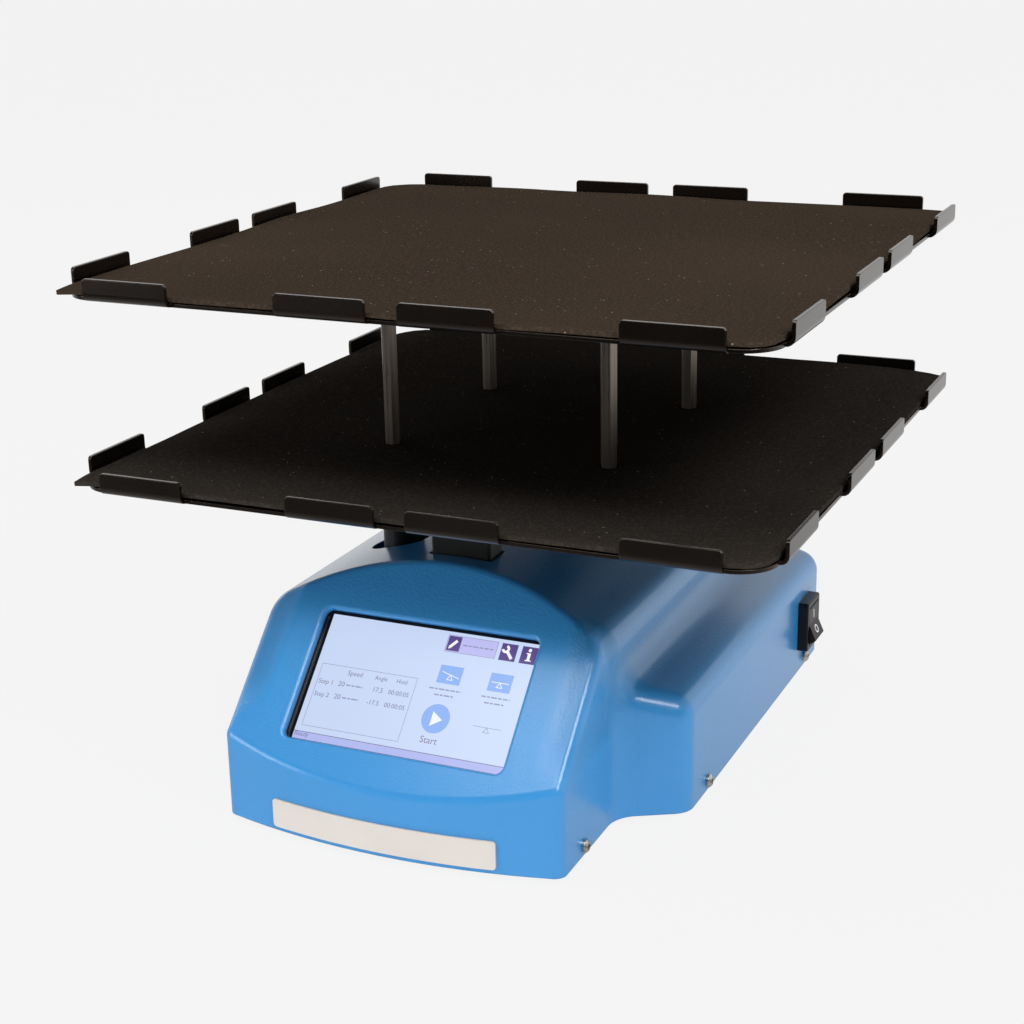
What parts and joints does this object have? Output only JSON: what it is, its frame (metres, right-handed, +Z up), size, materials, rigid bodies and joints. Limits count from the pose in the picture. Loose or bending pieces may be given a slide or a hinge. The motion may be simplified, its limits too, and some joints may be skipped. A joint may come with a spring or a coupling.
{
  "type": "rocker shaker",
  "caption": "Bench rocker shaker: double square mat-lined trays with upturned tabs see-saw on a moulded base with a sloping touch display, side power switch and geared drive.",
  "frame": {"origin": "on the bench, under the middle of the whole outline at rest", "axes": "+Z up from the bench, -Y towards the display and the user, +X to the right seen from the display; the rocking axis is parallel to Y"},
  "size_m": [0.3048, 0.3252, 0.2212],
  "materials": {
    "painted_tray": "satin",
    "mat_rubber": "matte",
    "standoff_steel": "satin",
    "screw_steel": "polished",
    "housing_blue": "satin",
    "pan_metal": "matte",
    "foot_rubber": "matte",
    "nameplate_white": "matte",
    "gasket_foam": "matte",
    "screen_glass": "gloss",
    "screen_panel": "gloss",
    "circuit_board": "satin",
    "component_dark": "matte",
    "spacer_nylon": "matte",
    "frame_aluminium": "satin",
    "block_black": "satin",
    "bush_bronze": "satin",
    "gear_nylon": "satin",
    "motor_black": "satin",
    "switch_black": "gloss",
    "jack_black": "satin"
  },
  "bodies": {
    "base": {"housing_cover": "housing_blue", "base_pan": "pan_metal", "rubber_feet": "foot_rubber", "cover_screws": "screw_steel", "nameplate": "nameplate_white", "display_gasket": "gasket_foam", "display_glass": "screen_glass", "display_panel": "screen_panel", "display_board": "circuit_board", "display_screws": "screw_steel", "support_frame": "frame_aluminium", "frame_screws": "screw_steel", "front_pivot_block": "block_black", "rear_pivot_block": "block_black", "block_screws": "screw_steel", "pivot_bushes": "bush_bronze", "sector_bearings": "screw_steel", "motor_plate": "frame_aluminium", "plate_screws": "screw_steel", "drive_motor": "motor_black", "motor_screws": "screw_steel", "control_board": "circuit_board", "board_components": "component_dark", "board_spacers": "spacer_nylon", "board_screws": "screw_steel", "power_switch_body": "switch_black", "power_jack": "jack_black", "jack_nut": "screw_steel"},
    "platform": {"lower_tray": "painted_tray", "lower_mat": "mat_rubber", "upper_tray": "painted_tray", "upper_mat": "mat_rubber", "deck_standoffs": "standoff_steel", "upper_deck_screws": "screw_steel", "lower_deck_screws": "screw_steel", "platform_cradle": "frame_aluminium", "pivot_pins": "screw_steel"},
    "push_rod_link": {"push_rod": "block_black", "rod_pins": "screw_steel"},
    "sector_lever": {"sector_gear": "gear_nylon", "sector_shaft": "screw_steel"},
    "motor_rotor": {"motor_shaft": "screw_steel", "pinion_gear": "bush_bronze"},
    "switch_rocker": {"power_switch_rocker": "switch_black"}
  },
  "joints": [
    {"name": "platform_rock", "type": "hinge", "parent": "base", "child": "platform", "pos_m": [0, 0.0102, 0.1122], "axis": [0, 1, 0], "range_deg": [-20, 20]},
    {"name": "push_rod_swing", "type": "hinge", "parent": "platform", "child": "push_rod_link", "pos_m": [-0.0381, -0.058, 0.1122], "axis": [0, 1, 0], "range_deg": [-20, 20]},
    {"name": "sector_swing", "type": "hinge", "parent": "base", "child": "sector_lever", "pos_m": [0, -0.058, 0.0542], "axis": [0, 1, 0], "range_deg": [-20, 20]},
    {"name": "pinion_spin", "type": "hinge", "parent": "base", "child": "motor_rotor", "pos_m": [0.043, -0.058, 0.0542], "axis": [0, 1, 0], "range_deg": [-103, 103]},
    {"name": "switch_press", "type": "hinge", "parent": "base", "child": "switch_rocker", "pos_m": [0.10344, 0.0862, 0.0264], "axis": [0, 1, 0], "range_deg": [0, 24]}
  ],
  "couplings": [
    {"joint": "push_rod_swing", "follows": "platform_rock", "ratio": -1},
    {"joint": "sector_swing", "follows": "platform_rock", "ratio": 1},
    {"joint": "pinion_spin", "follows": "platform_rock", "ratio": -5.1429}
  ]
}
